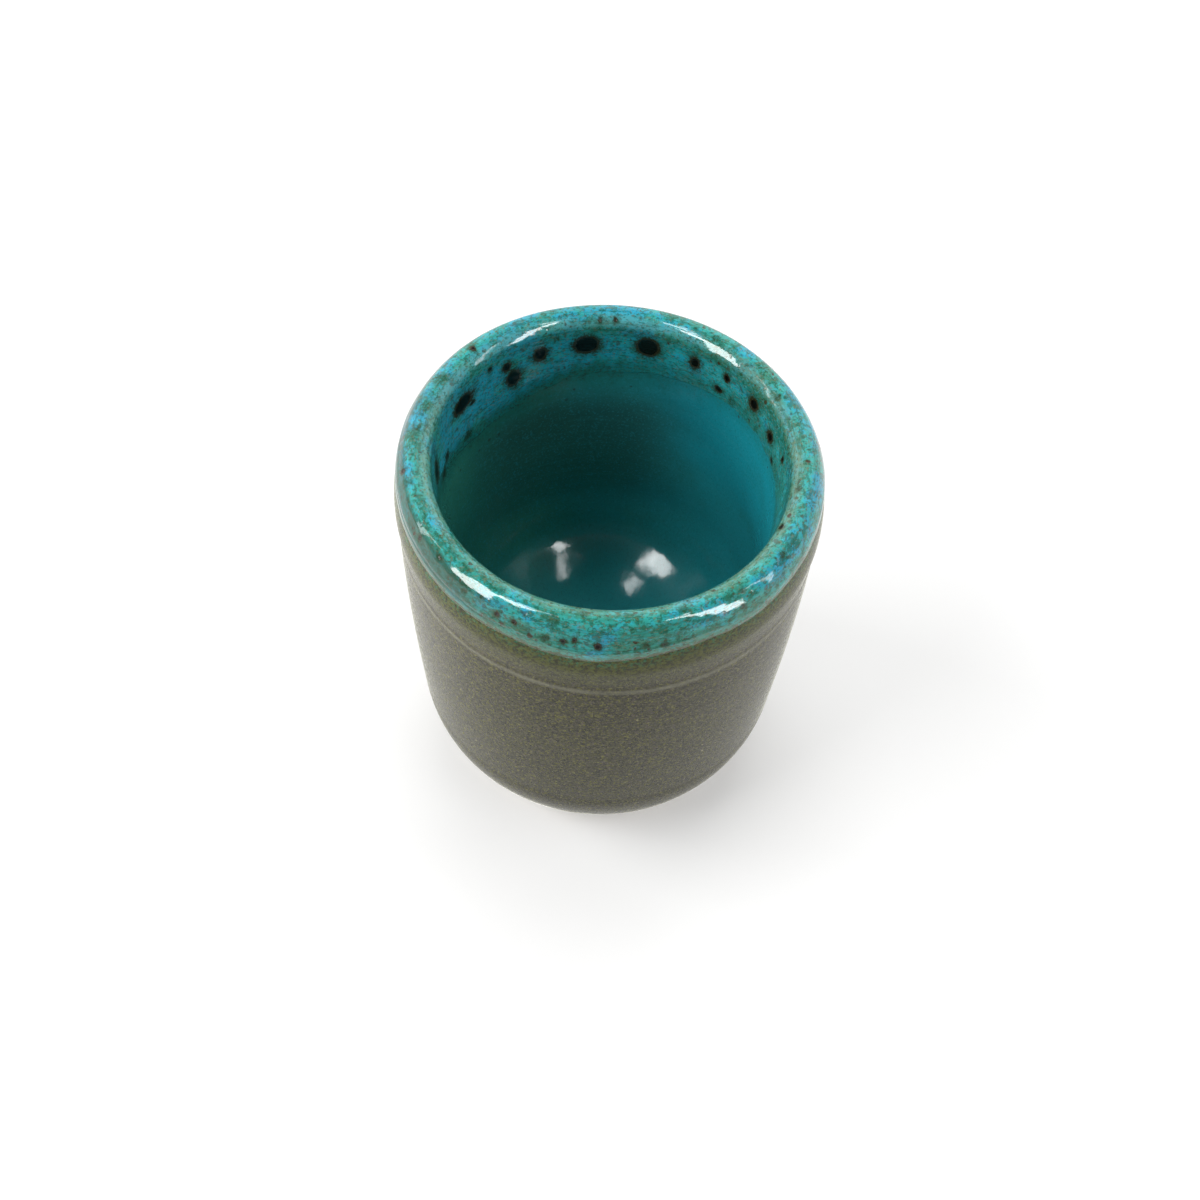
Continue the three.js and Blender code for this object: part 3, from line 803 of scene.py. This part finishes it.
# the glaze runs thin and pale along the turned shoulder, and the pale line is partly a painted highlight on the
# shoulder's edge
pale_line_and_highlight = k.math("MULTIPLY", k.step(turn, -0.60, 0.05), k.step(turn, 0.72, 0.12))
pale_line_and_highlight = k.math("MULTIPLY", pale_line_and_highlight, k.step(k.noise(k.scale(W, (0.3, 0.3, 2.0)), 0.8, 3), 0.25, 0.6, 0.55, 1.0))
col = k.mix(k.math("MULTIPLY", pale_line_and_highlight, 0.58), col, srgb(134, 133, 116))
k.put(k.bsdf.inputs["Base Color"], col)
k.put(k.bsdf.inputs["Roughness"], k.math("ADD", k.math("MULTIPLY", k.noise(W, 2.0, 3), 0.10), 0.22))
k.bsdf.inputs["IOR"].default_value = 1.27
k.bsdf.inputs["Sheen Weight"].default_value = 1.0
k.bsdf.inputs["Sheen Roughness"].default_value = 0.12
k.bsdf.inputs["Sheen Tint"].default_value = (1.0, 0.995, 0.86, 1)
n1 = k.bump(k.noise(W, 5.0, 3, 0.6), 0.000004)
k.put(k.bsdf.inputs["Normal"], n1)
outer_mat = k.mat

# --- bare clay
k = Tree("stoneware")
W = k.attr("wrap", True)
col = k.mix(k.step(k.noise(W, 0.12, 3), 0.35, 0.65), srgb(176, 158, 132), srgb(160, 142, 116))
col = k.mix(k.math("MULTIPLY", k.step(k.noise(W, 3.0, 4, 0.7), 0.5, 0.72), 0.5), col, srgb(138, 120, 96))
dist, rnd, rnd2 = k.cells(W, 0.9)
col = k.mix(k.math("MULTIPLY", k.step(k.math("SUBTRACT", dist, k.math("MULTIPLY", k.math("POWER", rnd, 4.0), 0.2)), 0.04, -0.03), 0.8),
            col, srgb(86, 66, 46))
k.put(k.bsdf.inputs["Base Color"], col)
k.put(k.bsdf.inputs["Roughness"], k.math("ADD", k.math("MULTIPLY", k.noise(W, 1.6, 3), 0.12), 0.78))
n1 = k.bump(k.noise(W, 3.5, 4, 0.65), 0.00004)
k.put(k.bsdf.inputs["Normal"], n1)
clay_mat = k.mat

for piece, mat, node, slot in (
    (clay, clay_mat, "stoneware_body", "stoneware"),
    (outer, outer_mat, "outer_glaze", "satin_glaze"),
    (liner, liner_mat, "liner_glaze", "teal_glaze"),
    (rim, rim_mat, "rim_glaze", "turquoise_glaze"),
):
    piece.data.materials.append(mat)
    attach(piece, "root")
    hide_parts(node)

# ------------------------------------------------------------ floor and light
bpy.ops.mesh.primitive_plane_add(size=6, location=(0, 0, 0))
floor = bpy.context.object
floor.name = "floor"
paper = bpy.data.materials.new("paper")
paper.use_nodes = True
pb = paper.node_tree.nodes["Principled BSDF"]
pb.inputs["Base Color"].default_value = (0.62, 0.62, 0.616, 1)
pb.inputs["Emission Color"].default_value = (1, 1, 1, 1)
pb.inputs["Emission Strength"].default_value = 0.28
pb.inputs["Roughness"].default_value = 0.9
pb.inputs["Specular IOR Level"].default_value = 0.1
floor.data.materials.append(paper)


def area_light(name, place, x, y, z, wide, tall, radiance, shine):
    """A panel at place, evenly bright from its front. With shine it is only mirrored in the
    glaze, without it is only cast as soft light."""
    data = bpy.data.lights.new(name, "AREA")
    data.shape = "RECTANGLE"
    data.size, data.size_y = wide, tall
    data.energy = radiance * math.pi * wide * tall
    obj = bpy.data.objects.new(name, data)
    scene.collection.objects.link(obj)
    m = Matrix(np.array([x, y, z]).T.tolist()).to_4x4()
    m.translation = np.asarray(place).tolist()
    obj.matrix_world = m
    obj.visible_diffuse = not shine
    obj.visible_glossy = shine


def upright(name, azimuth, distance, side, z0, z1, wide, radiance, lean=0.0):
    """A bright panel that faces the cup's axis: its middle is side metres to the left of the axis
    as the cup sees it, and it leans sideways by lean degrees."""
    a, b = math.radians(azimuth), math.radians(lean)
    d = np.array([math.cos(a), math.sin(a), 0.0])
    x, y = np.array([-d[1], d[0], 0.0]), np.array([0, 0, 1.0])
    area_light(name, d * distance + x * side + y * (z0 + z1) / 2,
               x * math.cos(b) - y * math.sin(b), x * math.sin(b) + y * math.cos(b), d,
               wide, (z1 - z0) / math.cos(b), radiance, True)


def aimed(name, azimuth, elevation, distance, wide, tall, radiance, shine=True):
    """A panel that faces the cup from above."""
    a, e = math.radians(azimuth), math.radians(elevation)
    z = np.array([math.cos(e) * math.cos(a), math.cos(e) * math.sin(a), math.sin(e)])
    x = np.array([-math.sin(a), math.cos(a), 0.0])
    area_light(name, np.array([0, 0, 0.03]) + z * distance, x, np.cross(z, x), z, wide, tall, radiance, shine)


def soft(name, azimuth, elevation, distance, size, level):
    """Soft light that gives a white surface facing it the brightness level."""
    aimed(name, azimuth, elevation, distance, size, size, level * math.pi * distance ** 2 / size ** 2, False)


upright("left_tall", -151, 0.30, 0.002, 0.095, 0.50, 0.104, 17, -1.5)
upright("left_wing_low", -151, 0.30, 0.022, 0.49, 0.56, 0.044, 17)
upright("left_wing_mid", -151, 0.30, 0.062, 0.37, 0.605, 0.036, 17)
upright("left_wing_high", -151, 0.30, 0.091, 0.37, 0.645, 0.022, 17)
aimed("left_top", -147, 71.5, 0.7, 0.10, 0.11, 11)
upright("right_tall", -36, 0.30, -0.022, 0.03, 0.49, 0.055, 17, -11)
upright("right_top", -36, 0.30, 0.015, 0.53, 0.77, 0.055, 11, 24)
upright("right_wing", -36, 0.30, -0.105, 0.587, 0.683, 0.03, 0.8, -32.6)
upright("left_strip", 177, 0.60, 0.0, 0.06, 0.62, 0.04, 7)
upright("right_strip", -11, 0.60, 0.0, 0.02, 0.62, 0.05, 7)
soft("key_left", -155, 46, 0.6, 0.28, 0.50)
soft("key_right", -30, 42, 0.6, 0.25, 0.18)
soft("top_back", 85, 66, 0.7, 0.45, 0.50)
soft("side_left", 172, 22, 0.6, 0.25, 0.70)
soft("side_right", 8, 22, 0.6, 0.25, 0.27)

# a grey card on the floor in front, out of the picture, that keeps the lip's face from mirroring white
bpy.ops.mesh.primitive_plane_add(size=1, location=(0, -0.30, 0.004))
card = bpy.context.object
card.name = "grey_card"
card.scale = (0.30, 0.44, 1)
grey = bpy.data.materials.new("grey_card")
grey.use_nodes = True
gt = grey.node_tree
gt.nodes.clear()
g_out = gt.nodes.new("ShaderNodeOutputMaterial")
g_em = gt.nodes.new("ShaderNodeEmission")
g_at = gt.nodes.new("ShaderNodeTexCoord")
g_sep = gt.nodes.new("ShaderNodeSeparateXYZ")
g_abs = gt.nodes.new("ShaderNodeMath")
g_abs.operation = "ABSOLUTE"
g_map = gt.nodes.new("ShaderNodeMapRange")
g_map.interpolation_type = "SMOOTHSTEP"
gt.links.new(g_at.outputs["Object"], g_sep.inputs[0])
gt.links.new(g_sep.outputs[0], g_abs.inputs[0])
gt.links.new(g_abs.outputs[0], g_map.inputs["Value"])
for key, val in zip(("From Min", "From Max", "To Min", "To Max"), (0.12, 0.50, 0.40, 1.0)):
    g_map.inputs[key].default_value = val
gt.links.new(g_map.outputs["Result"], g_em.inputs["Strength"])
gt.links.new(g_em.outputs[0], g_out.inputs[0])
card.data.materials.append(grey)
card.visible_camera = card.visible_diffuse = card.visible_shadow = False

# the room: pale behind, dimmer at the sides and in front, dark overhead
world = bpy.data.worlds.new("studio")
scene.world = world
world.use_nodes = True
wt = world.node_tree
bg = wt.nodes["Background"]
where = wt.nodes.new("ShaderNodeTexCoord")
part = wt.nodes.new("ShaderNodeSeparateXYZ")
wt.links.new(where.outputs["Generated"], part.inputs[0])


def ramp(socket, a, b, lo, hi):
    n = wt.nodes.new("ShaderNodeMapRange")
    n.interpolation_type = "SMOOTHSTEP"
    wt.links.new(socket, n.inputs["Value"])
    for key, val in zip(("From Min", "From Max", "To Min", "To Max"), (a, b, lo, hi)):
        n.inputs[key].default_value = val
    return n.outputs["Result"]


back = ramp(part.outputs[1], 0.0, 0.75, 0.25, 1.2)
low = ramp(part.outputs[2], 0.66, 0.96, 1.0, 0.06)
times = wt.nodes.new("ShaderNodeMath")
times.operation = "MULTIPLY"
wt.links.new(back, times.inputs[0])
wt.links.new(low, times.inputs[1])
wt.links.new(times.outputs[0], bg.inputs["Strength"])
bg.inputs["Color"].default_value = (1, 1, 1, 1)

scene.view_settings.view_transform = "Standard"
scene.view_settings.look = "None"
scene.view_settings.exposure = 0.0
scene.view_settings.gamma = 1.0
